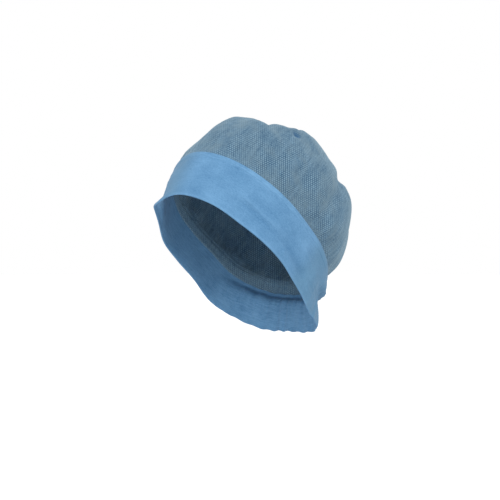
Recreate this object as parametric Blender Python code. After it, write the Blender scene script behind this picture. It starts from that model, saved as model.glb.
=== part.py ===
"""A disposable surgical cap as it is worn: a loose crown over a wide folded headband.

Metres, +Z up. The brow faces -Y and +X is the cap's left as it is worn. The origin is the
cap's seat, on the inside of the crown straight above the crown's centre. Shapes are worked
out in the cap's own frame, whose axis leans back, and then turned as they are worn.
"""
import math
from collections import namedtuple

import bmesh
import bpy
import numpy as np

# Driving dimensions
PLAN_RADIUS = 0.100            # unit of the plan: the cap's axis to its band and crown
CAP_TILT = math.radians(42.0)  # how far the cap's axis leans back, brow high and nape low
BAND_WIDTH = 0.0525            # lower edge to upper edge of the headband
BAND_DROP = 0.0125             # upper edge of the headband below the crown's centre
BAND_WALL = 0.0020             # folded non-woven, two layers
BAND_CREST = 0.0020            # how far the band bows out between its edges
CROWN_RISE = 0.0930            # the crown's centre to its top, along the cap's axis
CROWN_FULLNESS = 2.15          # 2 is an ellipse; more is fuller at the shoulder
CROWN_WALL = 0.0010            # single net
HEM_LAP = 0.012                # the crown's hem inside the band
CLEARANCE = 0.0003             # between the hem and the band
FOLD_DEPTH = 0.0060            # the deepest fold of the crown
RIPPLE_DEPTH = 0.0012          # small gathers of the crown above the band
RIPPLE_COUNT = 16              # gathers all round
FLARE_REACH = 0.0068           # how far the free lower edge flares out
FLARE_DIP = 0.0070             # how much lower it hangs there
TUCK_DEPTH = 0.0105            # how far elastic pulls the lower part of the band in
PLEAT_DEPTH = 0.0012           # small pleats where the elastic pulls
PLEAT_COUNT = 16               # pleats to a full turn
ELASTIC_HALF = math.radians(42.0)  # half the span of the elastic at the nape
ELASTIC_FADE = math.radians(35.0)  # the turn over which its pull begins

# Half of the sections round the cap, at even angles; the other half mirrors them. The outs
# are shares of PLAN_RADIUS: lower edge, upper edge and the crown's widest line. drop and
# rise are shares of BAND_WIDTH: the lower edge below the band's upper level, and the upper
# edge above it
Section = namedtuple("Section", "name rim_out edge_out belly_out drop rise")
SECTIONS = (
    Section("brow",        0.930, 1.030, 1.030, 0.90,  0.05),
    Section("brow_corner", 0.880, 0.990, 0.985, 0.92,  0.03),
    Section("temple",      0.790, 0.910, 0.940, 0.96,  0.00),
    Section("side_front",  0.775, 0.842, 0.900, 0.99, -0.03),
    Section("side",        0.755, 0.800, 0.880, 0.98, -0.04),
    Section("side_back",   0.785, 0.828, 0.935, 1.00, -0.03),
    Section("nape_side",   0.975, 0.905, 0.970, 1.06, -0.06),
    Section("nape_corner", 1.250, 0.955, 1.000, 0.91,  0.02),
    Section("nape",        1.230, 0.960, 1.020, 0.89,  0.08),
)

# Long soft folds of the crown, each on a line from one place to another. The places are
# in degrees round the cap from the brow and as a share of the way from the band to the
# top, width is half the valley in degrees, and depth is a share of FOLD_DEPTH, negative
# where the crown swells out
Fold = namedtuple("Fold", "name around_low around_high low high width depth")
FOLDS = (
    Fold("brow_swell",   -12.0,   -8.0, 0.15, 0.60,  9.0, -0.25),
    Fold("brow_hollow",    8.0,   20.0, 0.34, 0.82, 16.0, 0.40),
    Fold("brow_notch",    46.0,  -34.0, 0.28, 0.90,  8.0, 0.60),
    Fold("brow_pucker",   46.0,   12.0, 0.50, 0.94,  5.0, 0.70),
    Fold("temple_swell",  52.0,   58.0, 0.40, 0.95, 14.0, -0.50),
    Fold("temple_fold",   46.0,   41.0, 0.05, 0.50,  7.0, 0.40),
    Fold("front_fold",    66.0,   62.0, 0.05, 0.55,  8.0, 0.40),
    Fold("side_crease",   92.0,  107.0, 0.08, 0.70,  7.0, 0.80),
    Fold("back_crease",  101.0,  150.0, 0.48, 0.88,  7.5, 1.00),
    Fold("nape_fold",    134.0,  129.0, 0.02, 0.70,  9.0, 0.45),
    Fold("back_fold",    168.0,  171.0, 0.02, 0.70,  9.0, 0.45),
    Fold("far_back",    -146.0, -141.0, 0.02, 0.75, 10.0, 0.55),
    Fold("far_side",    -104.0, -110.0, 0.05, 0.80,  9.0, 0.50),
    Fold("far_front",    -72.0,  -68.0, 0.05, 0.75,  8.0, 0.35),
    Fold("far_temple",   -38.0,  -32.0, 0.10, 0.75,  9.0, 0.30),
)
FOLD_FADE = 0.35               # share of a fold's length over which each end dies out
RIDGE_SHARE = 0.20             # height of the soft ridges beside a fold, to its depth
RIDGE_PLACE = 1.9              # their distance from the fold's middle, in its widths
RIDGE_WIDTH = 0.9              # and their own width, in the fold's widths

# Places where the lower edge flares out and hangs lower: degrees from the brow to the
# middle, half width in degrees, and shares of FLARE_REACH and FLARE_DIP
Flare = namedtuple("Flare", "name around width reach dip")
FLARES = (
    Flare("far_temple", -28.0, 19.0, 1.00, 0.0),
    Flare("far_brow", -20.0, 9.0, 0.10, 1.0),
    Flare("near_temple", 34.0, 24.0, 0.25, 0.0),
)

# Shares of the band's width, from its lower edge
FLARE_TOP = 0.22               # where the flare ends
TUCK_FOOT = 0.50               # here the elastic pulls fully
TUCK_TOP = 0.72                # above this it doesn't
RUFFLE_PULL = 0.70             # how much of the pull is left at the lower edge
PLEAT_TOP_SHARE = 0.3          # what is left of the pleats at the upper edge

FLARE_PEAK = 1.5               # 2 is a round flare; less is a sharper one
ROLL_SHARE = 0.4               # how far the band's folded edges round out, to its wall
PUFF_SHARPNESS = 8             # how soon the crown fills out above the band
RIPPLE_START = 0.06            # share of the way up where the small gathers are full

# Mesh density
AROUND = 96
HEM_ROWS = 2
CROWN_ROWS = 15
CROWN_ROW_GROWTH = 1.15        # rows lie closer together near the band
BAND_ROWS = 7


def section(name, around):
    """A section column at each angle, smooth and closed round the cap."""
    half = np.array([getattr(row, name) for row in SECTIONS])
    whole = np.concatenate([half, half[-2:0:-1]])
    count = len(whole)
    place = np.mod(around, 2 * math.pi) / (2 * math.pi) * count
    first = np.floor(place).astype(int)
    t = place - first
    before, here, after, beyond = (whole[(first + step) % count] for step in (-1, 0, 1, 2))
    return 0.5 * (2 * here + (after - before) * t
                  + (2 * before - 5 * here + 4 * after - beyond) * t ** 2
                  + (3 * here - before - 3 * after + beyond) * t ** 3)


def smooth(low, high, value):
    """A soft step from 0 at low to 1 at high."""
    t = np.clip((value - low) / (high - low), 0.0, 1.0)
    return t * t * (3 - 2 * t)


def turn_from(around, centre):
    """The signed angle from centre, the short way round."""
    return np.mod(around - centre + math.pi, 2 * math.pi) - math.pi


def in_plan(around, out, up):
    """A point in the cap's own frame: x to the left, y to the nape, z along its axis."""
    return np.stack([out * np.sin(around), -out * np.cos(around), up], axis=-1)


def unit(vectors):
    return vectors / np.linalg.norm(vectors, axis=-1, keepdims=True)


def flare(around):
    """How far the lower edge flares out, and how much lower it hangs."""
    reach, dip = 0.0, 0.0
    for row in FLARES:
        off = turn_from(around, math.radians(row.around)) / math.radians(row.width)
        near = np.exp(-np.abs(off) ** FLARE_PEAK)
        reach = reach + FLARE_REACH * row.reach * near
        dip = dip + FLARE_DIP * row.dip * near
    return reach, dip


def elastic_pull(around, share):
    """How far the band is drawn in at the nape, with its small pleats."""
    behind = turn_from(around, math.pi)
    begins = ELASTIC_HALF - ELASTIC_FADE / 2
    ends = ELASTIC_HALF + ELASTIC_FADE / 2
    held = 1 - smooth(begins, ends, np.abs(behind))
    tuck = TUCK_DEPTH * (1 - smooth(TUCK_FOOT, TUCK_TOP, share))
    tuck = tuck * (RUFFLE_PULL + (1 - RUFFLE_PULL) * smooth(0.0, TUCK_FOOT, share))
    pleats = PLEAT_DEPTH * np.cos(PLEAT_COUNT * behind) * (1 - (1 - PLEAT_TOP_SHARE) * share)
    return held * (tuck + pleats)


def band_face(around, share):
    """The headband's outer face: share 0 at its lower edge, 1 at its upper edge."""
    rim = PLAN_RADIUS * section("rim_out", around)
    edge = PLAN_RADIUS * section("edge_out", around)
    top = BAND_WIDTH * section("rise", around) - BAND_DROP
    reach, dip = flare(around)
    foot = -BAND_DROP - BAND_WIDTH * section("drop", around) - dip
    bow = BAND_CREST * 4 * share * (1 - share)
    out = rim + (edge - rim) * share + bow
    out = out + reach * (1 - smooth(0.0, FLARE_TOP, share)) - elastic_pull(around, share)
    return in_plan(around, out, foot + (top - foot) * share)


def band_point(around, share, depth):
    """A point under the headband's outer face, depth measured square to the face."""
    around, share = np.broadcast_arrays(around, share)
    nudge = 1e-4
    along = band_face(around + nudge, share) - band_face(around - nudge, share)
    upward = band_face(around, share + nudge) - band_face(around, share - nudge)
    return band_face(around, share) - unit(np.cross(along, upward)) * depth


def crown_folds(around, share):
    """How far the crown is drawn in by its folds and small gathers."""
    fading = smooth(0.0, RIPPLE_START, share) * (1 - share) ** 2
    total = RIPPLE_DEPTH * np.sin(RIPPLE_COUNT * around) * fading
    for fold in FOLDS:
        way = (share - fold.low) / (fold.high - fold.low)
        middle = np.radians(fold.around_low + (fold.around_high - fold.around_low) * way)
        off = np.abs(turn_from(around, middle)) / math.radians(fold.width)
        ridges = RIDGE_SHARE * np.exp(-((off - RIDGE_PLACE) / RIDGE_WIDTH) ** 2)
        ends = smooth(0.0, FOLD_FADE, way) * (1 - smooth(1 - FOLD_FADE, 1.0, way))
        total = total + FOLD_DEPTH * fold.depth * (np.exp(-off ** 2) - ridges) * ends
    return total


def crown_radius(around, height):
    """From the crown's centre to its unfolded face, at an angle above its middle plane."""
    flat = np.abs(np.cos(height)) / (PLAN_RADIUS * section("belly_out", around))
    tall = np.abs(np.sin(height)) / CROWN_RISE
    return (flat ** CROWN_FULLNESS + tall ** CROWN_FULLNESS) ** (-1 / CROWN_FULLNESS)


def crown_face(around, share):
    """The crown's outer face: share 0 just over the band's upper edge, 1 at its top."""
    around, share = np.broadcast_arrays(around, share)
    lift = ROLL_SHARE * BAND_WALL + CLEARANCE + CROWN_WALL / 2
    start = band_point(around, 1.0, BAND_WALL + CLEARANCE) + np.array([0.0, 0.0, lift])
    out = np.hypot(start[..., 0], start[..., 1])
    first = np.arctan2(start[..., 2], out)
    height = first + (math.pi / 2 - first) * share
    gap = np.hypot(out, start[..., 2]) - crown_radius(around, first)
    radius = crown_radius(around, height) + gap * (1 - share) ** PUFF_SHARPNESS
    radius = radius - crown_folds(around, share)
    turned = np.arctan2(start[..., 0], -start[..., 1])
    return in_plan(turned, radius * np.cos(height), radius * np.sin(height))


def grid_normals(points):
    """Outward unit normals of a grid whose first axis closes round the cap."""
    along = np.roll(points, -1, axis=0) - np.roll(points, 1, axis=0)
    return unit(np.cross(along, np.gradient(points, axis=1)))


def as_worn(points):
    """From the cap's own frame to the worn one, with the origin at the cap's seat."""
    back, up = math.sin(CAP_TILT), math.cos(CAP_TILT)
    seat = float(crown_radius(np.array(0.0), np.array(math.pi / 2 - CAP_TILT))) - CROWN_WALL
    x, y, z = points[..., 0], points[..., 1], points[..., 2]
    return np.stack([x, y * up + z * back, z * up - y * back - seat], axis=-1)


def turns():
    """The angles of the cross-sections, as a column."""
    return np.arange(AROUND)[:, None] * 2 * math.pi / AROUND


def headband_sections():
    """Closed cross-sections: up the outer face, over the roll, down inside, round the foot."""
    share = np.linspace(0.0, 1.0, BAND_ROWS + 1)[None, :]
    outer = band_point(turns(), share, 0.0)
    inner = band_point(turns(), share, BAND_WALL)
    roll = np.array([0.0, 0.0, ROLL_SHARE * BAND_WALL])
    top = band_point(turns(), 1.0, BAND_WALL / 2) + roll
    foot = band_point(turns(), 0.0, BAND_WALL / 2) - roll
    return np.concatenate([outer, top, inner[:, ::-1], foot], axis=1)


def crown_sections():
    """Open cross-sections: from the top down outside, round the hem, and up inside."""
    lap = np.linspace(1 - HEM_LAP / BAND_WIDTH, 1.0, HEM_ROWS + 1)[None, :]
    hem = band_point(turns(), lap, BAND_WALL + CLEARANCE)
    share = np.linspace(0.0, 1.0, CROWN_ROWS + 1)[None, :-1] ** CROWN_ROW_GROWTH
    outer = np.concatenate([hem, crown_face(turns(), share)], axis=1)
    inner = outer - grid_normals(outer) * CROWN_WALL
    return np.concatenate([outer[:, ::-1], inner], axis=1)


def strips(rings, width, closed):
    """Four-sided faces between neighbouring cross-sections, all round the cap."""
    faces = []
    for ring in range(rings):
        here = ring * width
        there = (ring + 1) % rings * width
        for step in range(width if closed else width - 1):
            after = (step + 1) % width
            faces.append((here + step, there + step, there + after, here + after))
    return faces


def material(name, colour, roughness):
    finish = bpy.data.materials.new(name)
    finish.use_nodes = True
    shader = finish.node_tree.nodes["Principled BSDF"]
    shader.inputs["Base Color"].default_value = (*colour, 1.0)
    shader.inputs["Roughness"].default_value = roughness
    shader.inputs["Metallic"].default_value = 0.0
    return finish


def add_object(name, vertices, faces, finish):
    """A smooth-shaded object whose faces point out."""
    mesh = bpy.data.meshes.new(name)
    mesh.from_pydata([tuple(vertex) for vertex in vertices], [], faces)
    shape = bmesh.new()
    shape.from_mesh(mesh)
    bmesh.ops.recalc_face_normals(shape, faces=shape.faces)
    shape.to_mesh(mesh)
    shape.free()
    mesh.shade_smooth()
    mesh.materials.append(finish)
    bpy.context.scene.collection.objects.link(bpy.data.objects.new(name, mesh))


def build_headband():
    sections = as_worn(headband_sections())
    rings, width = sections.shape[:2]
    finish = material("headband", (0.15, 0.34, 0.60), 0.85)
    add_object("headband", sections.reshape(-1, 3), strips(rings, width, closed=True), finish)


def build_crown():
    sections = as_worn(crown_sections())
    rings, width = sections.shape[:2]
    top = as_worn(np.array([[0.0, 0.0, CROWN_RISE], [0.0, 0.0, CROWN_RISE - CROWN_WALL]]))
    outside, inside = rings * width, rings * width + 1
    faces = strips(rings, width, closed=False)
    for ring in range(rings):
        here = ring * width
        there = (ring + 1) % rings * width
        faces.append((here, outside, there))
        faces.append((here + width - 1, there + width - 1, inside))
    finish = material("crown", (0.14, 0.25, 0.37), 0.90)
    add_object("crown", np.concatenate([sections.reshape(-1, 3), top]), faces, finish)


for leftover in list(bpy.data.objects):
    bpy.data.objects.remove(leftover, do_unlink=True)
build_headband()
build_crown()
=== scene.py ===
"""A disposable surgical cap as it is worn: a loose net crown over a wide folded headband.

Metres, +Z up. The brow faces -Y and +X is the cap's left as it is worn. The origin is the
cap's seat, inside the crown. The named sizes are the ones that the solid parts are made
from, and this script adds the thin cloth, its gathers and creases, the finishes and the
studio.
"""

import math
from collections import namedtuple

import bmesh
import bpy
import numpy as np
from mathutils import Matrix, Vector, noise


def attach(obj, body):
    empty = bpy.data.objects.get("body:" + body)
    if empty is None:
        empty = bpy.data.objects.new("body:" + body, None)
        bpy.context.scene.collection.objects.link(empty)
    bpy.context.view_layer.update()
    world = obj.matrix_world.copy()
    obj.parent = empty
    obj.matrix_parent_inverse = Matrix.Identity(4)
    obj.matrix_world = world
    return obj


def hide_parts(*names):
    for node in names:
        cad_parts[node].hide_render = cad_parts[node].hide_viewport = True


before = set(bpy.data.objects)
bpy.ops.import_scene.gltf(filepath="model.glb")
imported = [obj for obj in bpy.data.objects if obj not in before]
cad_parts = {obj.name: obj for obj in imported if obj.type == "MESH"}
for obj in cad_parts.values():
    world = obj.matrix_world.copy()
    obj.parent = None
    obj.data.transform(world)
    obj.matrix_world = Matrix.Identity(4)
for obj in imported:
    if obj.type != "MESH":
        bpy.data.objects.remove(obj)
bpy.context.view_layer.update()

MILLIMETRE = 0.001

# Driving dimensions, shared with the solids
PLAN_RADIUS = 0.100            # unit of the plan: the cap's axis to its band and crown
CAP_TILT = math.radians(42.0)  # how far the cap's axis leans back, brow high and nape low
BAND_WIDTH = 0.0525            # lower edge to upper edge of the headband
BAND_DROP = 0.0125             # upper edge of the headband below the crown's centre
BAND_WALL = 0.0020             # folded non-woven, all its layers
BAND_CREST = 0.0020            # how far the band bows out between its edges
CROWN_RISE = 0.0930            # the crown's centre to its top, along the cap's axis
CROWN_FULLNESS = 2.15          # 2 is an ellipse; more is fuller at the shoulder
CROWN_WALL = 0.0010            # the solid's wall, whose outer face the net follows
NET_WALL = 0.0006              # the net itself
CLOTH = 0.0005                 # one layer of the band
FOOT_PRESS = 0.35              # how much thinner the band is at its pressed lower fold
CROWN_SLOPE = 0.145            # from the band to the crown's top along the net
HEM_LAP = 0.012                # the crown's hem inside the band
CLEARANCE = 0.0003             # between the hem and the band
FOLD_DEPTH = 0.0060            # the deepest fold of the crown
RIPPLE_DEPTH = 0.0012          # small gathers of the crown above the band
RIPPLE_COUNT = 16              # gathers all round
FLARE_REACH = 0.0068           # how far the free lower edge flares out
FLARE_DIP = 0.0070             # how much lower it hangs there
TUCK_DEPTH = 0.0105            # how far elastic pulls the lower part of the band in
PLEAT_DEPTH = 0.0012           # small pleats where the elastic pulls
PLEAT_COUNT = 46               # pleats to a full turn
ELASTIC_HALF = math.radians(42.0)  # half the span of the elastic at the nape
ELASTIC_FADE = math.radians(35.0)  # the turn over which its pull begins

# Half of the sections round the cap, at even angles; the other half mirrors them. The outs
# are shares of PLAN_RADIUS: lower edge, upper edge and the crown's widest line. drop and
# rise are shares of BAND_WIDTH: the lower edge below the band's upper level, and the upper
# edge above it
Section = namedtuple("Section", "name rim_out edge_out belly_out drop rise")
SECTIONS = (
    Section("brow",        0.930, 1.030, 1.030, 0.90,  0.05),
    Section("brow_corner", 0.880, 0.990, 0.985, 0.92,  0.03),
    Section("temple",      0.790, 0.910, 0.940, 0.96,  0.00),
    Section("side_front",  0.775, 0.842, 0.900, 0.99, -0.03),
    Section("side",        0.755, 0.800, 0.880, 0.98, -0.04),
    Section("side_back",   0.785, 0.828, 0.935, 1.00, -0.03),
    Section("nape_side",   0.975, 0.905, 0.970, 1.06, -0.06),
    Section("nape_corner", 1.250, 0.955, 1.000, 0.91,  0.02),
    Section("nape",        1.230, 0.960, 1.020, 0.89,  0.08),
)

# Long soft folds of the crown, each on a line from one place to another. The places are
# in degrees round the cap from the brow and as a share of the way from the band to the
# top, width is half the valley in degrees, and depth is a share of FOLD_DEPTH, negative
# where the crown swells out
Fold = namedtuple("Fold", "name around_low around_high low high width depth")
FOLDS = (
    Fold("brow_swell",   -12.0,   -8.0, 0.15, 0.60,  9.0, -0.25),
    Fold("brow_hollow",    8.0,   20.0, 0.34, 0.82, 16.0, 0.40),
    Fold("brow_notch",    46.0,  -34.0, 0.28, 0.90,  8.0, 0.60),
    Fold("brow_pucker",   46.0,   12.0, 0.50, 0.94,  5.0, 0.70),
    Fold("temple_swell",  52.0,   58.0, 0.40, 0.95, 14.0, -0.50),
    Fold("temple_fold",   46.0,   41.0, 0.05, 0.50,  7.0, 0.40),
    Fold("front_fold",    66.0,   62.0, 0.05, 0.55,  8.0, 0.40),
    Fold("side_crease",   92.0,  107.0, 0.08, 0.70,  7.0, 0.80),
    Fold("back_crease",  101.0,  150.0, 0.48, 0.88,  7.5, 1.00),
    Fold("nape_fold",    134.0,  129.0, 0.02, 0.70,  9.0, 0.45),
    Fold("back_fold",    168.0,  171.0, 0.02, 0.70,  9.0, 0.45),
    Fold("far_back",    -146.0, -141.0, 0.02, 0.75, 10.0, 0.55),
    Fold("far_side",    -104.0, -110.0, 0.05, 0.80,  9.0, 0.50),
    Fold("far_front",    -72.0,  -68.0, 0.05, 0.75,  8.0, 0.35),
    Fold("far_temple",   -38.0,  -32.0, 0.10, 0.75,  9.0, 0.30),
)
FOLD_FADE = 0.35               # share of a fold's length over which each end dies out
RIDGE_SHARE = 0.20             # height of the soft ridges beside a fold, to its depth
RIDGE_PLACE = 1.9              # their distance from the fold's middle, in its widths
RIDGE_WIDTH = 0.9              # and their own width, in the fold's widths

# Places where the lower edge flares out and hangs lower: degrees from the brow to the
# middle, half width in degrees, and shares of FLARE_REACH and FLARE_DIP
Flare = namedtuple("Flare", "name around width reach dip")
FLARES = (
    Flare("far_temple", -28.0, 19.0, 1.00, 0.0),
    Flare("far_brow", -20.0, 9.0, 0.10, 1.0),
    Flare("near_temple", 34.0, 24.0, 0.25, 0.0),
)

# Shares of the band's width, from its lower edge
FLARE_TOP = 0.22               # where the flare ends
TUCK_FOOT = 0.50               # here the elastic pulls fully
TUCK_TOP = 0.72                # above this it doesn't
HEM_LINE = 0.865               # above this the band's edge is turned in and doubled
INNER_TOP = 0.955              # free edge of the band's inner layer
EDGE_TOP = 0.983               # where the outer layer is turned in
FOLD_INSIDE = 0.025            # lowest point between the two layers
FOOT_PRESS_TOP = 0.14          # below this the fold is pressed flatter

# How the two pieces curve
FLARE_PEAK = 1.5               # 2 is a round flare; less is a sharper one
RUFFLE_PULL = 0.70             # how much of the elastic's pull is left at the lower edge
PLEAT_TOP_SHARE = 0.3          # what is left of the pleats at the upper edge
ROLL_SHARE = 0.4               # how far the band's folded edges round out, to its wall
LAYER_ROOM = 0.00018           # the band's layers keep this far apart
PUFF_SHARPNESS = 8             # how soon the crown fills out above the band
RIPPLE_START = 0.06            # share of the way up where the small gathers are full

# How pleats and ruffles vary round the cap: the mean share of their full depth, the two
# waves that bring them about it, and how many radians and how often they stray from even
# places
Variation = namedtuple("Variation", "mean slow shift fast stray strays")
PLEATS_VARY = Variation(0.7, 5, 1.0, 11, 1.2, 7)
RUFFLES_VARY = Variation(0.65, 13, 2.0, 29, 1.6, 9)

# Fine ruffles of the band along the elastic
RUFFLE_DEPTH = 0.00080
RUFFLE_COUNT = 88              # ruffles to a full turn
RUFFLE_TOP = 0.80              # share of the band's width where they are gone
RUFFLE_FOOT = 0.45             # what is left of them at the lower edge
RUFFLE_LEAN = 1.5              # radians that they lean to either side up the band
RUFFLE_LEANS = 17              # waves of that to a full turn
RUFFLE_TWIST = 4               # and radians of such a wave up the band

# Fine gathers of the net where it enters the band
GATHER_DEPTH = 0.00055
GATHER_COUNT = 88              # gathers to a full turn
GATHER_TOP = 0.22              # share of the way up the net where they are gone
GATHER_MEAN = 0.6              # the mean share of their full depth
GATHER_STRAY = 2.5             # radians that they stray from even places
GATHER_STRAYS = 9              # and how often in a full turn

# Where the net leaves the band
EDGE_GAP = 0.0011              # how far the net leans out to the band's upper edge
EDGE_FADE = 0.05               # share of the way up the net where it has left the edge
LEAN_START = INNER_TOP + 0.005  # share of the band's width where it begins to lean out
LEAN_ROW = INNER_TOP + 0.007   # and a row of the net's points just above that
NET_RELIEF_START = 0.05        # share of the way up where the net's own relief is full

# Creases pressed into the band's outer face, each on a line from one place to another:
# degrees round the cap, shares of the band's width, half width as such a share, and
# height in millimetres, negative for a hollow
Crease = namedtuple("Crease", "name around_from around_to share_from share_to width height")
CREASES = (
    Crease("front_ridge",    31.0,   76.0, 0.47, 0.34, 0.034,  1.15),
    Crease("front_hollow",   30.0,   92.0, 0.58, 0.45, 0.050, -0.35),
    Crease("under_ridge",    34.0,   86.0, 0.35, 0.24, 0.060, -0.65),
    Crease("side_hollow",    72.0,  124.0, 0.29, 0.19, 0.085, -1.30),
    Crease("hem_ridge",      38.0,   60.0, 0.80, 0.83, 0.022,  0.40),
    Crease("brow_hollow",   -12.0,   30.0, 0.36, 0.44, 0.100, -0.40),
    Crease("side_ridge",     84.0,  118.0, 0.62, 0.50, 0.040,  0.40),
    Crease("far_ridge",     -40.0,  -84.0, 0.48, 0.34, 0.040,  0.50),
    Crease("far_hollow",    -34.0,  -96.0, 0.62, 0.48, 0.090, -0.60),
    Crease("far_low",       -90.0, -126.0, 0.24, 0.30, 0.080, -0.50),
    Crease("back_ridge",    146.0,  206.0, 0.80, 0.78, 0.040,  0.45),
)
CREASE_FADE = 0.30             # share of a crease's length over which each end dies out
HEM_RAISE = 0.00035            # the doubled edge stands this far off the single cloth
HEM_GROOVE = 0.00030           # and a welded line runs along it
HEM_SOFT = 0.012               # half the line's width, as a share of the band's
RELIEF_FOOT = 0.05             # the band's relief fades over these shares of its width,
RELIEF_EDGE = 0.03             # at its lower edge and below the turned-in one

# Small swells and hollows of the loose net: degrees round the cap, share of the way up, half
# widths in degrees and as such a share, and height in millimetres, negative for a hollow
Swell = namedtuple("Swell", "name around share wide tall height")
SWELLS = (
    Swell("brow_foot",    -28.0, 0.070, 12.0, 0.050,  0.9),
    Swell("brow_flat",    -16.0, 0.225, 14.0, 0.110, -2.0),
    Swell("brow_top",      -6.0, 0.390,  8.0, 0.050,  1.0),
    Swell("top_flat",      -3.0, 0.545,  7.0, 0.055, -1.5),
    Swell("beside_pinch",  34.5, 0.540,  6.0, 0.050, -1.2),
    Swell("pinch_rim",     41.5, 0.555,  4.0, 0.035,  1.8),
    Swell("side_top",      74.0, 0.650, 12.0, 0.080,  1.6),
    Swell("over_crease",  108.0, 0.660,  6.5, 0.055, -2.4),
    Swell("in_crease",    117.0, 0.520,  6.0, 0.050, -1.8),
    Swell("back_full",    120.0, 0.400,  9.0, 0.060,  1.3),
    Swell("back_low",     150.0, 0.165, 18.0, 0.110,  1.4),
)

# A small pinch in the crown, near the top: degrees, share of the way up, and metres
PINCH_AROUND = math.radians(46.4)
PINCH_SHARE = 0.474
PINCH_REACH = 0.0048
PINCH_DEPTH = 0.0037

# Smooth random hills that move the cloth: their length along each axis, and their seed
Hills = namedtuple("Hills", "size seed")
CROWN_SWELL = Hills((0.030, 0.030, 0.045), 11.7)
CROWN_STREAK = Hills((0.0075, 0.0075, 0.034), 5.3)
GATHER_SWELL = Hills(CROWN_SWELL.size, 23.9)
BAND_SWELL = Hills((0.030, 0.030, 0.013), 3.1)
BAND_LINE = Hills((0.026, 0.026, 0.0055), 8.6)
BAND_LINED = Hills(BAND_SWELL.size, 14.2)

# How far they move it
CROWN_SWELL_HEIGHT = 0.0011
CROWN_STREAK_HEIGHT = 0.00042
BAND_SWELL_HEIGHT = 0.00085
BAND_LINE_HEIGHT = 0.00045
BAND_LINE_SHARPNESS = 3        # how narrow the band's small lines are
BAND_LINE_PATCH = (-0.1, 0.3)  # they begin and are full at these heights of other hills
BAND_OPEN = (0.0, 0.12)        # the band's swell is full between these two stretches
BAND_CLOSED = (0.80, 0.95)     # of its width
BAND_EDGE_SWELL = 0.3          # what is left of it outside them

# Mesh density
AROUND = 448
HEM_ROWS = 6
CROWN_ROWS = 92
CROWN_ROW_GROWTH = 1.10        # rows lie closer together near the band
THIN_OUT = (0.70, 0.86, 0.94)  # shares of the way up where every other column ends
BAND_AROUND = 600
BAND_OUTER_ROWS = 50
BAND_HEM_ROWS = 7
BAND_HIDDEN_ROWS = 22
BAND_INNER_ROWS = 26
ROLL_ROWS = 4

# The net's weave: staggered raised points on upright ribs
NET_ACROSS = 0.0041            # the repeat across, in metres
NET_UP = 0.0021                # and up
NET_RIBS = 0.16                # the ribs' share beside the points
NET_WANDER = 0.0016            # how far its rows and columns stray
WANDER_SCALE = 70.0            # and how often, to a metre
NET_TURN = math.radians(-45.0)  # so that x runs to the cap's left rear, and y square to it

# The weave is laid on along x, y and z in turn: the axes that it spreads across and up, and
# how readily it is taken
Laid = namedtuple("Laid", "across up favour")
LAID = (Laid(1, 2, 1.0), Laid(0, 2, 1.0), Laid(0, 1, 0.75))
LAID_SHARPNESS = 8.0           # how soon one gives way to the next
SQUARE_ON = 0.27               # how soon the weave is fainter where none lies square to it

# Random cloudiness in the finishes, finer along an axis with a larger stretch
Grain = namedtuple("Grain", "scale detail stretch")
EVEN = (1.0, 1.0, 1.0)
# Painted light and shade of the net's fine soft folds, which run up from the band
NET_FOLD_SHADING = Grain(1.0, 2.0, (230.0, 45.0, 1.0))
NET_CLOUD = Grain(38.0, 2.0, EVEN)
NET_PATCH = Grain(90.0, 1.0, (1.0, 1.0, 0.6))
NET_FLECK = Grain(1.0, 1.0, (420.0, 420.0, 520.0))
NET_WORN = Grain(75.0, 2.0, (1.0, 1.0, 0.7))
BAND_FIBRES = Grain(1.0, 4.0, (380.0, 1500.0, 1.0))
BAND_DASHES = Grain(1.0, 2.0, (95.0, 620.0, 1.0))
BAND_FLECKS = Grain(1.0, 2.0, (900.0, 900.0, 900.0))
BAND_CLOUD = Grain(55.0, 3.0, EVEN)
GRAIN_ROUGHNESS = 0.55

# Where the net's look changes, each from a start to an end, in metres
HEM_PAINTED_LIGHT = (0.0045, 0.0)       # up the net from the band, painted lighter beside it to offset the shade where the net tucks under the band's edge
FOLD_SHADING_END = (0.50 * CROWN_SLOPE, 0.85 * CROWN_SLOPE)   # up the net, where the painted light and shade of its soft folds ends
FAINT_ABOVE = (0.34 * CROWN_SLOPE, 0.58 * CROWN_SLOPE)  # and where the weave grows faint
CLEAR_BELOW = (0.36 * CROWN_SLOPE, 0.16 * CROWN_SLOPE)  # and down it, where it grows clear
CLEAR_SIDE = (-0.030, 0.030)   # to the cap's left rear, where it grows clear too
REAR_BEHIND = (0.062, 0.080)   # the low left rear, where it grows faint: far enough there
REAR_BELOW = (-0.080, -0.105)  # and low enough
BUNCHED_SHADE_REACH = (0.0066, 0.0024)  # from the middle of the pinch, over which its deeper blue and painted shade fade

# How clear the weave is, as factors
PATCH_CLEARNESS = (-0.5, 2.3)  # from the faintest patch to the clearest
UPPER_CLEARNESS = 0.5          # near the top
REAR_CLEARNESS = 0.4           # at the low left rear
CLEARNESS = 0.80               # on the whole
SIDE_CLEARNESS = 0.35          # added to that towards the left rear
BESIDE_CLEARNESS = 0.60        # and there beside the band

# The net's mixture of light and dark, and how much each thing adds to it
NET_LEVEL = -0.590
NET_SHARES = {"weave": 1.06, "fold_shading": 0.75, "cloud": 0.26, "fleck": 0.65, "hem": 0.10,
              "rear": 0.10, "beside": -0.04}
NO_FOLD_SHADING = 0.5                # the mean of the painted fold shading, where it has ended
WORN_SHARE = (-0.50, 0.85)     # how far the net's colour greys, from patch to patch
NET_FLECK_BUMP = 0.6

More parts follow.
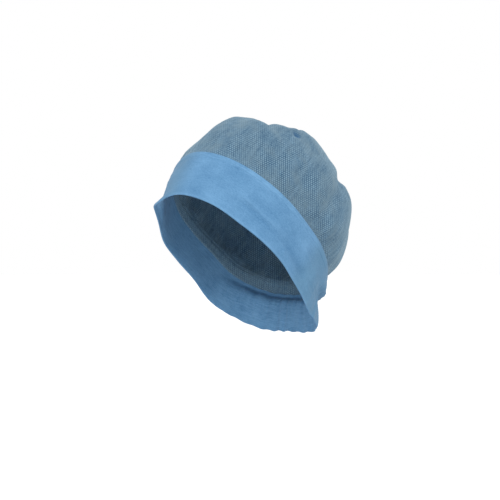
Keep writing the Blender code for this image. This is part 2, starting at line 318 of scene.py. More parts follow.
# The band's mixture of deep and pale, in the same way, with its ridges in metres; proud paints
# highlights on ridges and shade in hollows
BAND_LEVEL = -0.77
BAND_SHARES = {"dashes": 0.75, "hem": -0.38, "foot": 0.20, "fibres": 0.95, "flecks": 0.60,
               "cloud": 0.75, "proud": 170.0}
BAND_HEM = ((HEM_LINE - 0.02) * BAND_WIDTH, (HEM_LINE + 0.02) * BAND_WIDTH)  # metres up
BAND_FOOT = (0.0026, 0.0010)   # metres up, paler at the fold
DASH_CLEARNESS = (0.45, 1.5)   # below the doubled edge and on it

# A painted highlight along a stretch of the doubled edge, where it faces the key light
HIGHLIGHT_AROUND = math.radians(47.0)
HIGHLIGHT_HALF = math.radians(13.0)
HIGHLIGHT_AS_HIGH = 0.0013          # as pale as a ridge of this height, in metres
HIGHLIGHT_FROM = HEM_LINE - 0.03    # shares of the band's width where it begins
HIGHLIGHT_FULL = HEM_LINE + 0.01    # and is full

# The band's colour is painted darker and greyer as it turns from the side facing the key light
# towards the far side and the nape: painted shade, greyed as by a grazing sheen
PAINTED_SHADE_SHARE = 0.38
LIT_SIDE = math.radians(53.0)     # the middle of the side facing the key light, where no shade is painted
PAINTED_SHADE_SPAN = (math.radians(46.0), math.radians(64.0))  # the turn from there over which the painted shade comes in

# Colours, linear
NET_LIGHT = (0.208, 0.345, 0.460)
NET_DARK = (0.033, 0.096, 0.174)
NET_GREY = (0.150, 0.228, 0.282)
NET_BUNCHED_SHADE = (0.019, 0.098, 0.222)  # deeper blue at the pinch: more layers of bunched net, and painted shade in its hollow
BAND_DEEP = (0.063, 0.190, 0.365)
BAND_PALE = (0.170, 0.365, 0.600)
# Painted shade of the band where it turns from the light
BAND_PAINTED_SHADE = (0.098, 0.210, 0.292)
FLOOR_COLOUR = (0.80, 0.80, 0.80)
WHITE = (1.0, 1.0, 1.0)

# Surfaces: roughness, how strong their soft sheen is and its colour, and their fine bump
Surface = namedtuple("Surface", "name roughness sheen sheen_colour strength distance")
NET_SURFACE = Surface("crown_net", 0.88, 0.42, (0.62, 0.84, 0.95), 0.60, 0.0007)
BAND_SURFACE = Surface("band_nonwoven", 0.80, 0.12, (0.85, 0.92, 1.0), 0.35, 0.0004)
SPECULAR = 0.25
SHEEN_ROUGHNESS = 0.5
FLOOR_ROUGHNESS = 0.9
FLOOR_GLOW = 0.32              # lifts the floor to white where it is seen

# The studio
CAMERA_AT = Vector((1.0650, -1.0763, -0.1346))
CAMERA_LOOK = Vector((-0.70711, 0.70711, 0.0))
CAMERA_LENS = 105.9            # millimetres
CAMERA_SQUARE = 36.0           # millimetres across its square picture
CAMERA_CLIP = (0.01, 200.0)
ROOM_LIGHT = 0.80
KEY_FROM = Vector((0.62, -0.58, 0.70))
KEY_STRENGTH = 1.35
KEY_BREADTH = math.radians(50.0)
FLOOR_LEVEL = -0.80
FLOOR_HALF = 30.0


def section(name, around):
    """A section column at each angle, smooth and closed round the cap."""
    half = np.array([getattr(row, name) for row in SECTIONS])
    whole = np.concatenate([half, half[-2:0:-1]])
    count = len(whole)
    place = np.mod(around, 2 * math.pi) / (2 * math.pi) * count
    first = np.floor(place).astype(int)
    t = place - first
    before, here, after, beyond = (whole[(first + step) % count] for step in (-1, 0, 1, 2))
    return 0.5 * (2 * here + (after - before) * t
                  + (2 * before - 5 * here + 4 * after - beyond) * t ** 2
                  + (3 * here - before - 3 * after + beyond) * t ** 3)


def smooth(low, high, value):
    """A soft step from 0 at low to 1 at high."""
    t = np.clip((value - low) / (high - low), 0.0, 1.0)
    return t * t * (3 - 2 * t)


def turn_from(around, centre):
    """The signed angle from centre, the short way round."""
    return np.mod(around - centre + math.pi, 2 * math.pi) - math.pi


def in_plan(around, out, up):
    """A point in the cap's own frame: x to the left, y to the nape, z along its axis."""
    return np.stack([out * np.sin(around), -out * np.cos(around), up], axis=-1)


def unit(vectors):
    """The same directions, each with a length of 1."""
    return vectors / np.linalg.norm(vectors, axis=-1, keepdims=True)


def drift(points, hills):
    """The height of smooth random hills at each point, about -1 to 1."""
    flat = points.reshape(-1, 3) / np.array(hills.size) + hills.seed
    heights = np.array([noise.noise(Vector(place)) for place in flat])
    return heights.reshape(points.shape[:-1])


def share_of_depth(angle, vary):
    """How much of its full depth a pleat or ruffle has."""
    waves = np.sin(vary.slow * angle + vary.shift) * np.sin(vary.fast * angle)
    return vary.mean + (1 - vary.mean) * waves


def stray_phase(angle, count, stray, strays):
    """The phase of so many gathers to a turn that stray from even places."""
    return count * angle + stray * np.sin(strays * angle)


def elastic_hold(behind):
    """1 along the elastic at the nape and 0 away from it."""
    begins = ELASTIC_HALF - ELASTIC_FADE / 2
    ends = ELASTIC_HALF + ELASTIC_FADE / 2
    return 1 - smooth(begins, ends, np.abs(behind))


def flare(around):
    """How far the lower edge flares out, and how much lower it hangs."""
    reach, dip = 0.0, 0.0
    for row in FLARES:
        off = turn_from(around, math.radians(row.around)) / math.radians(row.width)
        near = np.exp(-np.abs(off) ** FLARE_PEAK)
        reach = reach + FLARE_REACH * row.reach * near
        dip = dip + FLARE_DIP * row.dip * near
    return reach, dip


def elastic_pull(around, share):
    """How far the band is drawn in at the nape, with its small pleats."""
    behind = turn_from(around, math.pi)
    tuck = TUCK_DEPTH * (1 - smooth(TUCK_FOOT, TUCK_TOP, share))
    tuck = tuck * (RUFFLE_PULL + (1 - RUFFLE_PULL) * smooth(0.0, TUCK_FOOT, share))
    phase = stray_phase(behind, PLEAT_COUNT, PLEATS_VARY.stray, PLEATS_VARY.strays)
    pleats = PLEAT_DEPTH * share_of_depth(behind, PLEATS_VARY) * np.cos(phase)
    return elastic_hold(behind) * (tuck + pleats * (1 - (1 - PLEAT_TOP_SHARE) * share))


def band_face(around, share):
    """The headband's outer face: share 0 at its lower edge, 1 at its upper edge."""
    rim = PLAN_RADIUS * section("rim_out", around)
    edge = PLAN_RADIUS * section("edge_out", around)
    top = BAND_WIDTH * section("rise", around) - BAND_DROP
    reach, dip = flare(around)
    foot = -BAND_DROP - BAND_WIDTH * section("drop", around) - dip
    bow = BAND_CREST * 4 * share * (1 - share)
    out = rim + (edge - rim) * share + bow
    out = out + reach * (1 - smooth(0.0, FLARE_TOP, share)) - elastic_pull(around, share)
    return in_plan(around, out, foot + (top - foot) * share)


def band_point(around, share, depth):
    """A point under the headband's outer face, depth measured square to the face."""
    around, share = np.broadcast_arrays(around, share)
    nudge = 1e-4
    along = band_face(around + nudge, share) - band_face(around - nudge, share)
    upward = band_face(around, share + nudge) - band_face(around, share - nudge)
    return band_face(around, share) - unit(np.cross(along, upward)) * np.asarray(depth)[..., None]


def crown_folds(around, share):
    """How far the crown is drawn in by its folds and small gathers."""
    fading = smooth(0.0, RIPPLE_START, share) * (1 - share) ** 2
    total = RIPPLE_DEPTH * np.sin(RIPPLE_COUNT * around) * fading
    for fold in FOLDS:
        way = (share - fold.low) / (fold.high - fold.low)
        middle = np.radians(fold.around_low + (fold.around_high - fold.around_low) * way)
        off = np.abs(turn_from(around, middle)) / math.radians(fold.width)
        ridges = RIDGE_SHARE * np.exp(-((off - RIDGE_PLACE) / RIDGE_WIDTH) ** 2)
        ends = smooth(0.0, FOLD_FADE, way) * (1 - smooth(1 - FOLD_FADE, 1.0, way))
        total = total + FOLD_DEPTH * fold.depth * (np.exp(-off ** 2) - ridges) * ends
    return total


def crown_radius(around, height):
    """From the crown's centre to its unfolded face, at an angle above its middle plane."""
    flat = np.abs(np.cos(height)) / (PLAN_RADIUS * section("belly_out", around))
    tall = np.abs(np.sin(height)) / CROWN_RISE
    return (flat ** CROWN_FULLNESS + tall ** CROWN_FULLNESS) ** (-1 / CROWN_FULLNESS)


def crown_face(around, share):
    """The crown's outer face: share 0 just over the band's upper edge, 1 at its top."""
    around, share = np.broadcast_arrays(around, share)
    lift = ROLL_SHARE * BAND_WALL + CLEARANCE + CROWN_WALL / 2
    start = band_point(around, 1.0, BAND_WALL + CLEARANCE) + np.array([0.0, 0.0, lift])
    out = np.hypot(start[..., 0], start[..., 1])
    first = np.arctan2(start[..., 2], out)
    height = first + (math.pi / 2 - first) * share
    gap = np.hypot(out, start[..., 2]) - crown_radius(around, first)
    radius = crown_radius(around, height) + gap * (1 - share) ** PUFF_SHARPNESS
    radius = radius - crown_folds(around, share)
    turned = np.arctan2(start[..., 0], -start[..., 1])
    return in_plan(turned, radius * np.cos(height), radius * np.sin(height))


def grid_normals(points):
    """Outward unit normals of a grid whose first axis closes round the cap."""
    along = np.roll(points, -1, axis=0) - np.roll(points, 1, axis=0)
    return unit(np.cross(along, np.gradient(points, axis=1)))


def as_worn(points):
    """From the cap's own frame to the worn one, with the origin at the cap's seat."""
    back, up = math.sin(CAP_TILT), math.cos(CAP_TILT)
    seat = float(crown_radius(np.array(0.0), np.array(math.pi / 2 - CAP_TILT))) - CROWN_WALL
    x, y, z = points[..., 0], points[..., 1], points[..., 2]
    return np.stack([x, y * up + z * back, z * up - y * back - seat], axis=-1)


def turns(count):
    """The angles of the cross-sections, as a column that starts behind."""
    return math.pi + np.arange(count)[:, None] * 2 * math.pi / count


def band_relief(around, share):
    """How far the band's outer layer stands proud: its doubled edge, creases and swell."""
    doubled = smooth(HEM_LINE - HEM_SOFT, HEM_LINE + HEM_SOFT, share)
    welded = np.exp(-((share - HEM_LINE) / HEM_SOFT) ** 2)
    total = HEM_RAISE * doubled - HEM_GROOVE * welded
    for crease in CREASES:
        length = math.radians(crease.around_to - crease.around_from)
        way = turn_from(around, math.radians(crease.around_from)) / length
        middle = crease.share_from + (crease.share_to - crease.share_from) * way
        ends = smooth(0.0, CREASE_FADE, way) * (1 - smooth(1 - CREASE_FADE, 1.0, way))
        off = (share - middle) / crease.width
        total = total + MILLIMETRE * crease.height * np.exp(-off ** 2) * ends
    face = band_face(around, share)
    lines = (1 - BAND_LINE_SHARPNESS * np.abs(drift(face, BAND_LINE))).clip(0.0, 1.0) ** 2
    lines = lines * smooth(*BAND_LINE_PATCH, drift(face, BAND_LINED))
    swell = BAND_SWELL_HEIGHT * drift(face, BAND_SWELL) + BAND_LINE_HEIGHT * lines
    free = smooth(*BAND_OPEN, share) * (1 - smooth(*BAND_CLOSED, share))
    total = total + swell * (BAND_EDGE_SWELL + (1 - BAND_EDGE_SWELL) * free)
    above = smooth(0.0, RELIEF_FOOT, share)
    return total * above * (1 - smooth(EDGE_TOP - RELIEF_EDGE, EDGE_TOP, share))


def ruffles(around, share):
    """How far the fine gathers at the nape move the folded band out."""
    behind = turn_from(around, math.pi)
    uneven = share_of_depth(behind, RUFFLES_VARY)
    phase = stray_phase(behind, RUFFLE_COUNT, RUFFLES_VARY.stray, RUFFLES_VARY.strays)
    phase = phase + RUFFLE_LEAN * np.sin(RUFFLE_LEANS * behind + RUFFLE_TWIST * share)
    reach = RUFFLE_FOOT + (1 - RUFFLE_FOOT) * smooth(0.0, TUCK_FOOT, share)
    reach = reach * (1 - smooth(TUCK_FOOT, RUFFLE_TOP, share))
    return RUFFLE_DEPTH * elastic_hold(behind) * uneven * reach * np.sin(phase)


def with_relief(relief, room):
    """The outer layer moves as its relief says, whatever the room."""
    return relief


def kept_off(relief, room):
    """The turned-in edge does so too, but stays off the inner layer."""
    return np.maximum(relief, CLOTH - room)


def pushed_in(relief, room):
    """The inner layer gives way only where a hollow of the outer one reaches it."""
    return np.minimum(relief + room, 0.0)


def band_layer(share_from, share_to, rows, depth, follow):
    """Part of the folded band as a grid, at a depth under its outer face."""
    share = np.linspace(share_from, share_to, rows)
    around, share = np.broadcast_arrays(turns(BAND_AROUND), share)
    pressed = 1 - FOOT_PRESS * (1 - smooth(0.0, FOOT_PRESS_TOP, share))
    room = pressed * (BAND_WALL - 2 * CLOTH) - LAYER_ROOM
    proud = follow(band_relief(around, share), room)
    return band_point(around, share, depth * pressed - proud - ruffles(around, share))


def band_fold(share, depth_from, depth_to, rise, pressed=1.0):
    """A turn of the cloth from one depth to another over or under an edge of the band."""
    turn = np.linspace(0.0, math.pi, ROLL_ROWS + 2)[1:-1]
    depth = pressed * (depth_from + (depth_to - depth_from) * (1 - np.cos(turn)) / 2)
    around, share = np.broadcast_arrays(turns(BAND_AROUND), np.full(ROLL_ROWS, share))
    up = rise * np.sin(turn)[:, None] * np.array([0.0, 0.0, 1.0])
    return band_point(around, share, depth - ruffles(around, share)) + up


def headband_sections():
    """Closed cross-sections of one long strip: its upper edge is turned in, and its lower
    edge is the fold between an outer layer and an inner one."""
    foot_pressed = 1 - FOOT_PRESS
    return np.concatenate([
        band_layer(0.0, EDGE_TOP, BAND_OUTER_ROWS, 0.0, with_relief),
        band_fold(EDGE_TOP, 0.0, 2 * CLOTH, CLOTH),
        band_layer(EDGE_TOP, HEM_LINE, BAND_HEM_ROWS, 2 * CLOTH, kept_off),
        band_layer(HEM_LINE - HEM_SOFT, FOLD_INSIDE, BAND_HIDDEN_ROWS, CLOTH, with_relief),
        band_layer(FOLD_INSIDE, INNER_TOP, BAND_HIDDEN_ROWS, BAND_WALL - CLOTH, pushed_in),
        band_fold(INNER_TOP, BAND_WALL - CLOTH, BAND_WALL, CLOTH / 2),
        band_layer(INNER_TOP, 0.0, BAND_INNER_ROWS, BAND_WALL, pushed_in),
        band_fold(0.0, BAND_WALL, 0.0, -ROLL_SHARE * BAND_WALL, foot_pressed),
    ], axis=1)


def pinch_centre():
    """The middle of the pinch, on the net as worn before it is pinched."""
    return as_worn(crown_face(np.array(PINCH_AROUND), np.array(PINCH_SHARE)))


def crown_relief(around, share, points):
    """Small movement of the net: swells, upright streaks, fine gathers and one pinch."""
    swell = CROWN_SWELL_HEIGHT * drift(points, CROWN_SWELL)
    streaks = CROWN_STREAK_HEIGHT * drift(points, CROWN_STREAK)
    uneven = GATHER_MEAN + (1 - GATHER_MEAN) * drift(points, GATHER_SWELL)
    phase = stray_phase(around, GATHER_COUNT, GATHER_STRAY, GATHER_STRAYS)
    gathers = GATHER_DEPTH * uneven * np.sin(phase) * (1 - smooth(0.0, GATHER_TOP, share))
    loose = 0.0
    for row in SWELLS:
        aside = turn_from(around, math.radians(row.around)) / math.radians(row.wide)
        higher = (share - row.share) / row.tall
        loose = loose + MILLIMETRE * row.height * np.exp(-aside ** 2 - higher ** 2)
    away = np.linalg.norm(points - pinch_centre(), axis=-1) / PINCH_REACH
    pinch = PINCH_DEPTH * np.exp(-away ** 2)
    return (swell + streaks + gathers + loose) * smooth(0.0, NET_RELIEF_START, share) - pinch


def crown_grid():
    """Outer and inner faces of the net as grids, from the hem's end up to near the top."""
    around = turns(AROUND)
    lap = np.linspace(1 - HEM_LAP / BAND_WIDTH, LEAN_ROW, HEM_ROWS - 1)
    lap = np.append(lap, [EDGE_TOP, 1.0])[None, :]
    leaned = EDGE_GAP * smooth(LEAN_START, EDGE_TOP, lap)
    hem = as_worn(band_point(around, lap, BAND_WALL + CLEARANCE - leaned))
    share = np.linspace(0.0, 1.0, CROWN_ROWS + 1)[None, :-1] ** CROWN_ROW_GROWTH
    face = crown_face(around, share)
    outward = unit(face * np.array([1.0, 1.0, 0.0]))
    leaned = EDGE_GAP * (1 - smooth(0.0, EDGE_FADE, share))
    face = as_worn(face + outward * leaned[..., None])
    face = face + grid_normals(face) * crown_relief(around, share, face)[..., None]
    outer = np.concatenate([hem, face], axis=1)
    inner = outer - grid_normals(outer) * NET_WALL
    return outer, inner, share[0]


def add_object(name, mesh, finish):
    """A smooth-shaded piece of the cap, whose faces point out."""
    shape = bmesh.new()
    shape.from_mesh(mesh)
    bmesh.ops.recalc_face_normals(shape, faces=shape.faces)
    shape.to_mesh(mesh)
    shape.free()
    mesh.shade_smooth()
    mesh.materials.append(finish)
    made = bpy.data.objects.new(name, mesh)
    bpy.context.scene.collection.objects.link(made)
    return made


def painted_highlight_stretch(around, share):
    """Where a painted highlight makes the doubled edge paler, given as the height of a ridge just
    as pale.
    """
    near = np.exp(-(turn_from(around, HIGHLIGHT_AROUND) / HIGHLIGHT_HALF) ** 2)
    return HIGHLIGHT_AS_HIGH * near * smooth(HIGHLIGHT_FROM, HIGHLIGHT_FULL, share)


def mark_outer(mesh, name, values, size):
    """A value for each point of the band's outer layer, and 0 for the rest of its grid."""
    marks = np.zeros(size)
    marks[:, :BAND_OUTER_ROWS] = values
    mesh.attributes.new(name, "FLOAT", "POINT").data.foreach_set("value", marks.ravel())


def build_headband():
    """One closed folded strip, with a map in metres: round the cap and round the fold."""
    sections = as_worn(headband_sections())
    rings, width = sections.shape[:2]
    faces, marks = [], []
    for ring in range(rings):
        here, there = ring * width, (ring + 1) % rings * width
        for step in range(width):
            after = (step + 1) % width
            faces.append((here + step, there + step, there + after, here + after))
            marks.append(((ring, step), (ring + 1, step), (ring + 1, step + 1), (ring, step + 1)))
    mesh = bpy.data.meshes.new("headband_cloth")
    mesh.from_pydata(sections.reshape(-1, 3).tolist(), [], faces)
    steps = np.linalg.norm(np.roll(sections, -1, axis=1) - sections, axis=-1).mean(axis=0)
    up = np.concatenate([[0.0], np.cumsum(steps)])
    across = 2 * math.pi * PLAN_RADIUS * section("edge_out", turns(rings)).mean() / rings
    outer = np.broadcast_arrays(turns(rings), np.linspace(0.0, EDGE_TOP, BAND_OUTER_ROWS))
    # The relief, the painted highlight stretch and the ruffles go into the colour: painted
    # highlights on ridges, painted shade in hollows
    proud = band_relief(*outer) + painted_highlight_stretch(*outer) + ruffles(*outer)
    # Painted shade where the band turns from the light
    aside = np.abs(turn_from(turns(rings), LIT_SIDE))
    mark_outer(mesh, "proud", proud, (rings, width))
    mark_outer(mesh, "painted_shade", PAINTED_SHADE_SHARE * smooth(*PAINTED_SHADE_SPAN, aside), (rings, width))
    cloth = mesh.uv_layers.new(name="cloth")
    flat = [(across * ring, up[step]) for mark in marks for ring, step in mark]
    cloth.data.foreach_set("uv", np.array(flat).ravel())
    return add_object("headband_cloth", mesh, nonwoven_finish())


def add_map(mesh, faces, marks):
    """The map of a sheet that closes on itself, whose turns are counted from behind."""
    flat = []
    for face in faces:
        turn = marks[list(face), 0]
        turn = turn + (turn < turn.max() - 0.5)
        flat.append(np.stack([2 * math.pi * PLAN_RADIUS * turn, marks[list(face), 1]], axis=1))
    mesh.uv_layers.new(name="cloth").data.foreach_set("uv", np.concatenate(flat).ravel())


def faces_between(low, high):
    """Faces that join two rows of points, the upper of which may have half as many."""
    faces = []
    count = len(high)
    ratio = len(low) // count
    for i in range(count):
        j = (i + 1) % count
        if ratio == 1:
            faces.append((int(low[i]), int(low[j]), int(high[j]), int(high[i])))
        else:
            first, middle, last = low[2 * i], low[2 * i + 1], low[(2 * i + 2) % len(low)]
            faces.append((int(first), int(middle), int(high[i])))
            faces.append((int(middle), int(high[j]), int(high[i])))
            faces.append((int(middle), int(last), int(high[j])))
    return faces


def build_crown():
    """The net as one closed thin sheet, with fewer columns towards its top. Its map is in
    metres: round the cap and up from the band."""
    outer, inner, share = crown_grid()
    up = np.concatenate([np.zeros(HEM_ROWS + 1), share * CROWN_SLOPE])
    places, faces, marks = [], [], []
    for side, grid in enumerate((outer, inner)):
        rows, stride = [], 1
        for row in range(grid.shape[1]):
            level = share[row - HEM_ROWS - 1] if row > HEM_ROWS else 0.0
            if stride < 2 ** len(THIN_OUT) and level > THIN_OUT[int(math.log2(stride))]:
                stride *= 2
            kept = np.arange(0, AROUND, stride)
            rows.append(len(places) + np.arange(len(kept)))
            places.extend(grid[kept, row].tolist())
            marks.extend((column / AROUND, up[row]) for column in kept)
        for low, high in zip(rows, rows[1:]):
            faces.extend(faces_between(low, high))
        top = CROWN_RISE - side * NET_WALL
        places.append(as_worn(np.array([0.0, 0.0, top])).tolist())
        marks.append((0.5, CROWN_SLOPE))
        last = rows[-1]
        faces.extend((int(a), int(b), len(places) - 1) for a, b in zip(last, np.roll(last, -1)))
        if side == 0:
            hem = rows[0]
        else:
            faces.extend(faces_between(hem, rows[0]))
    mesh = bpy.data.meshes.new("crown_net")
    mesh.from_pydata(places, [], faces)
    add_map(mesh, faces, np.array(marks))
    return add_object("crown_net", mesh, net_finish())


def add_node(tree, kind, inputs=(), **settings):
    """A shader node with its settings, its values and its links."""
    made = tree.nodes.new(kind)
    for name, value in settings.items():
        setattr(made, name, value)
    for socket, value in dict(inputs).items():
        if isinstance(value, bpy.types.NodeSocket):
            tree.links.new(value, made.inputs[socket])
        else:
            made.inputs[socket].default_value = value
    return made


def math_of(tree, operation, first, second=0.0):
    """The result of one operation on one value or two."""
    return add_node(tree, "ShaderNodeMath", {0: first, 1: second}, operation=operation).outputs[0]


def add_up(tree, start, parts):
    """A sum of values, each times its share, that begins at a level."""
    total = start
    for part, share in parts:
        node = add_node(tree, "ShaderNodeMath", {0: part, 1: share, 2: total},
                        operation="MULTIPLY_ADD")
        total = node.outputs[0]
    return total


def mix_colour(tree, factor, first, second):
    """One colour where the factor is 0, and another where it is 1."""
    inputs = {0: factor, 6: first, 7: second}
    return add_node(tree, "ShaderNodeMix", inputs, data_type="RGBA").outputs[2]


def spread(tree, value, low, high):
    """A value from 0 to 1 spread over a range."""
    return add_node(tree, "ShaderNodeMapRange", {0: value, 3: low, 4: high}).outputs[0]


def fade(tree, value, span, low=0.0, high=1.0):
    """A soft change from low to high as a value goes from the span's start to its end."""
    inputs = {0: value, 1: span[0], 2: span[1], 3: low, 4: high}
    node = add_node(tree, "ShaderNodeMapRange", inputs, interpolation_type="SMOOTHSTEP")
    return node.outputs[0]


def opaque(colour):
    """A colour with nothing seen through it."""
    return (*colour, 1.0)


def new_finish(surface):
    """A cloth's material, its node tree and its shader."""
    finish = bpy.data.materials.new(surface.name)
    finish.use_nodes = True
    shader = finish.node_tree.nodes["Principled BSDF"]
    shader.inputs["Metallic"].default_value = 0.0
    shader.inputs["Roughness"].default_value = surface.roughness
    shader.inputs["Specular IOR Level"].default_value = SPECULAR
    shader.inputs["Sheen Weight"].default_value = surface.sheen
    shader.inputs["Sheen Roughness"].default_value = SHEEN_ROUGHNESS
    shader.inputs["Sheen Tint"].default_value = opaque(surface.sheen_colour)
    return finish, finish.node_tree, shader


def finish_with(tree, shader, surface, colour, height):
    """Links a cloth's colour and fine bump to its shader."""
    tree.links.new(colour, shader.inputs["Base Color"])
    bump = add_node(tree, "ShaderNodeBump", {"Height": height, "Strength": surface.strength,
                                             "Distance": surface.distance})
    tree.links.new(bump.outputs[0], shader.inputs["Normal"])


def grain(tree, place, kind):
    """Random cloudiness from 0 to 1."""
    wide = add_node(tree, "ShaderNodeVectorMath", {0: place, 1: kind.stretch},
                    operation="MULTIPLY")
    cloud = {"Vector": wide.outputs[0], "Scale": kind.scale, "Detail": kind.detail,
             "Roughness": GRAIN_ROUGHNESS}
    return add_node(tree, "ShaderNodeTexNoise", cloud).outputs[0]


def wave(tree, place, repeat):
    """A wave from -1 to 1 with a repeat in metres."""
    turned = math_of(tree, "MULTIPLY", place, 2 * math.pi / repeat)
    return math_of(tree, "COSINE", turned)


def turned_rearward(tree, vector):
    """A vector turned about the upright axis, so that x runs to the cap's left rear."""
    inputs = {"Vector": vector, "Angle": NET_TURN}
    return add_node(tree, "ShaderNodeVectorRotate", inputs, rotation_type="Z_AXIS").outputs[0]


def separate(tree, vector):
    """A vector's three parts."""
    return add_node(tree, "ShaderNodeSeparateXYZ", {0: vector}).outputs


def strayed(tree, place):
    """A place moved a little at random, so that no row of the weave is straight."""
    noisy = {"Vector": place, "Scale": WANDER_SCALE, "Detail": 1.0}
    stray = add_node(tree, "ShaderNodeTexNoise", noisy).outputs["Color"]
    return add_node(tree, "ShaderNodeVectorMath", {0: stray, 1: (NET_WANDER,) * 3, 2: place},
                    operation="MULTIPLY_ADD").outputs[0]


def lattice(tree, across, up):
    """Staggered raised points on upright ribs, about 1 at their tops and 0 between them."""
    rows = math_of(tree, "MULTIPLY", wave(tree, across, NET_ACROSS), wave(tree, up, NET_UP))
    ribs = wave(tree, across, NET_ACROSS / 2)
    return add_up(tree, 0.0, ((math_of(tree, "MAXIMUM", rows, 0.0), 1.0), (ribs, NET_RIBS)))


def woven(tree, place, normal):
    """The weave laid on from the side, the front and the top, and how square it lies."""
    total, weights = 0.0, 0.0
    for axis, laid in enumerate(LAID):
        facing = math_of(tree, "MULTIPLY", math_of(tree, "ABSOLUTE", normal[axis]), laid.favour)
        weight = math_of(tree, "POWER", facing, LAID_SHARPNESS)
        points = lattice(tree, place[laid.across], place[laid.up])
        total = math_of(tree, "ADD", math_of(tree, "MULTIPLY", points, weight), total)
        weights = math_of(tree, "ADD", weight, weights)
    square = math_of(tree, "POWER", weights, SQUARE_ON)
    return math_of(tree, "DIVIDE", total, weights), square


def net_finish():
    """Grey-blue net: its weave, clearest beside the band at the left rear, painted light and
    shade of its soft folds, painted light beside the band and painted shade at its pinch.
    """
    finish, tree, shader = new_finish(NET_SURFACE)
    source = tree.nodes.new("ShaderNodeTexCoord").outputs
    turned = turned_rearward(tree, source["Object"])
    place = separate(tree, strayed(tree, turned))
    normal = separate(tree, turned_rearward(tree, source["Normal"]))
    points, square = woven(tree, place, normal)
    cloth = add_node(tree, "ShaderNodeUVMap", uv_map="cloth").outputs[0]
    up = separate(tree, cloth)[1]

    rear = math_of(tree, "MULTIPLY", fade(tree, place[0], REAR_BEHIND),
                   fade(tree, place[2], REAR_BELOW))
    side = fade(tree, place[0], CLEAR_SIDE)
    beside = math_of(tree, "MULTIPLY", side, fade(tree, up, CLEAR_BELOW))
    patch = spread(tree, grain(tree, turned, NET_PATCH), *PATCH_CLEARNESS)
    level = math_of(tree, "MULTIPLY", spread(tree, rear, 1.0, REAR_CLEARNESS),
                    fade(tree, up, FAINT_ABOVE, 1.0, UPPER_CLEARNESS))
    shown = math_of(tree, "MULTIPLY", math_of(tree, "MULTIPLY", patch, square), level)
    nearer = ((side, SIDE_CLEARNESS), (beside, BESIDE_CLEARNESS))
    shown = math_of(tree, "MULTIPLY", shown, add_up(tree, CLEARNESS, nearer))

    # Painted light and shade of the net's fine soft folds
    fold_shading = grain(tree, cloth, NET_FOLD_SHADING)
    ended = fade(tree, up, FOLD_SHADING_END)
    parts = {
        "weave": math_of(tree, "MULTIPLY", points, shown),
        "fold_shading": add_node(tree, "ShaderNodeMix", {0: ended, 2: fold_shading, 3: NO_FOLD_SHADING}).outputs[0],
        "cloud": grain(tree, turned, NET_CLOUD),
        "fleck": grain(tree, turned, NET_FLECK),
        # Painted light beside the band, offsetting the shade where the net tucks under its edge
        "hem": fade(tree, up, HEM_PAINTED_LIGHT),
        "rear": rear,
        "beside": beside,
    }
    light = add_up(tree, NET_LEVEL, [(parts[name], share) for name, share in NET_SHARES.items()])
    colour = mix_colour(tree, light, opaque(NET_DARK), opaque(NET_LIGHT))
    worn = spread(tree, grain(tree, turned, NET_WORN), *WORN_SHARE)
    colour = mix_colour(tree, worn, colour, opaque(NET_GREY))
    # Deeper blue at the pinch: more layers of bunched net, and painted shade in its hollow
    away = add_node(tree, "ShaderNodeVectorMath",
                    {0: source["Object"], 1: pinch_centre().tolist()}, operation="DISTANCE")
    bunched_shade = fade(tree, away.outputs["Value"], BUNCHED_SHADE_REACH)
    colour = mix_colour(tree, bunched_shade, colour, opaque(NET_BUNCHED_SHADE))
    height = add_up(tree, 0.0, ((parts["weave"], 1.0), (parts["fleck"], NET_FLECK_BUMP)))
    finish_with(tree, shader, NET_SURFACE, colour, height)
    return finish


def nonwoven_finish():
    """Sky-blue non-woven: fine fibres along the band, painted highlights on its ridges and
    painted shade in its hollows, a doubled edge, and painted shade where it turns from the light.
    """
    finish, tree, shader = new_finish(BAND_SURFACE)
    place = tree.nodes.new("ShaderNodeTexCoord").outputs["Object"]
    cloth = add_node(tree, "ShaderNodeUVMap", uv_map="cloth").outputs[0]
    up = separate(tree, cloth)[1]
    hem = fade(tree, up, BAND_HEM)
    dashes = grain(tree, cloth, BAND_DASHES)
    parts = {
        "dashes": math_of(tree, "MULTIPLY", dashes, spread(tree, hem, *DASH_CLEARNESS)),
        "hem": hem,
        "foot": fade(tree, up, BAND_FOOT),
        "fibres": grain(tree, cloth, BAND_FIBRES),
        "flecks": grain(tree, place, BAND_FLECKS),
        "cloud": grain(tree, place, BAND_CLOUD),
        # Painted highlights on the band's ridges and painted shade in its hollows
        "proud": add_node(tree, "ShaderNodeAttribute", attribute_name="proud").outputs["Fac"],
    }
    pale = add_up(tree, BAND_LEVEL, [(parts[name], share) for name, share in BAND_SHARES.items()])
    colour = mix_colour(tree, pale, opaque(BAND_DEEP), opaque(BAND_PALE))
    # Painted shade: darker and greyer where the band turns from the light
    painted_shade = add_node(tree, "ShaderNodeAttribute", attribute_name="painted_shade").outputs["Fac"]
    colour = mix_colour(tree, painted_shade, colour, opaque(BAND_PAINTED_SHADE))
    height = math_of(tree, "ADD", parts["fibres"], parts["flecks"])
    finish_with(tree, shader, BAND_SURFACE, colour, height)
    return finish


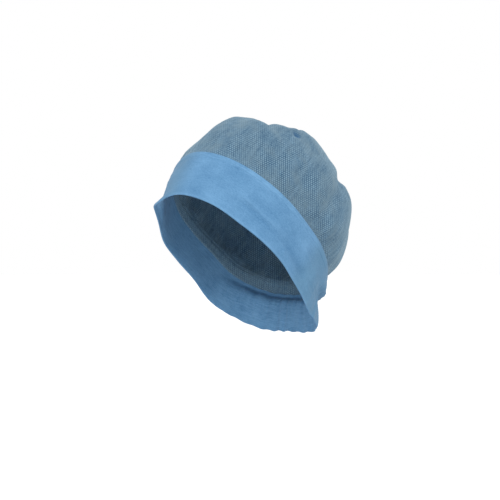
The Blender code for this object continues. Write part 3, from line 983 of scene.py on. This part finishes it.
def add_floor():
    """A plain pale floor far below the cap."""
    mesh = bpy.data.meshes.new("floor")
    corners = [(x * FLOOR_HALF, y * FLOOR_HALF, FLOOR_LEVEL)
               for x, y in ((-1, -1), (1, -1), (1, 1), (-1, 1))]
    mesh.from_pydata(corners, [], [(0, 1, 2, 3)])
    finish = bpy.data.materials.new("floor")
    finish.use_nodes = True
    shader = finish.node_tree.nodes["Principled BSDF"]
    shader.inputs["Base Color"].default_value = opaque(FLOOR_COLOUR)
    shader.inputs["Roughness"].default_value = FLOOR_ROUGHNESS
    shader.inputs["Emission Color"].default_value = opaque(WHITE)
    seen = finish.node_tree.nodes.new("ShaderNodeLightPath").outputs["Is Camera Ray"]
    glow = spread(finish.node_tree, seen, 0.0, FLOOR_GLOW)
    finish.node_tree.links.new(glow, shader.inputs["Emission Strength"])
    mesh.materials.append(finish)
    floor = bpy.data.objects.new("floor", mesh)
    bpy.context.scene.collection.objects.link(floor)


def add_light(name, come_from, strength):
    """A broad lamp so far off that it lights the floor as it lights the cap."""
    lamp = bpy.data.lights.new(name, "SUN")
    lamp.energy = strength
    lamp.angle = KEY_BREADTH
    holder = bpy.data.objects.new(name, lamp)
    holder.rotation_euler = come_from.to_track_quat("Z", "Y").to_euler()
    bpy.context.scene.collection.objects.link(holder)


def add_studio():
    """White surroundings, one soft key light from above the camera, and the camera."""
    scene = bpy.context.scene
    scene.view_settings.view_transform = "Standard"
    world = bpy.data.worlds.new("studio")
    world.use_nodes = True
    backdrop = world.node_tree.nodes["Background"]
    seen = world.node_tree.nodes.new("ShaderNodeLightPath").outputs["Is Camera Ray"]
    strength = spread(world.node_tree, seen, ROOM_LIGHT, 1.0)
    backdrop.inputs[0].default_value = opaque(WHITE)
    world.node_tree.links.new(strength, backdrop.inputs[1])
    scene.world = world
    add_light("key", KEY_FROM, KEY_STRENGTH)
    lens = bpy.data.cameras.new("camera")
    lens.lens = CAMERA_LENS
    lens.sensor_width = CAMERA_SQUARE
    lens.clip_start, lens.clip_end = CAMERA_CLIP
    camera = bpy.data.objects.new("camera", lens)
    camera.location = CAMERA_AT
    camera.rotation_euler = CAMERA_LOOK.to_track_quat("-Z", "Y").to_euler()
    scene.collection.objects.link(camera)
    scene.camera = camera


crown = build_crown()
headband = build_headband()
for piece, node, slot in ((crown, "crown", "crown_net"), (headband, "headband", "band_nonwoven")):
    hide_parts(node)
    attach(piece, "root")
add_floor()
add_studio()
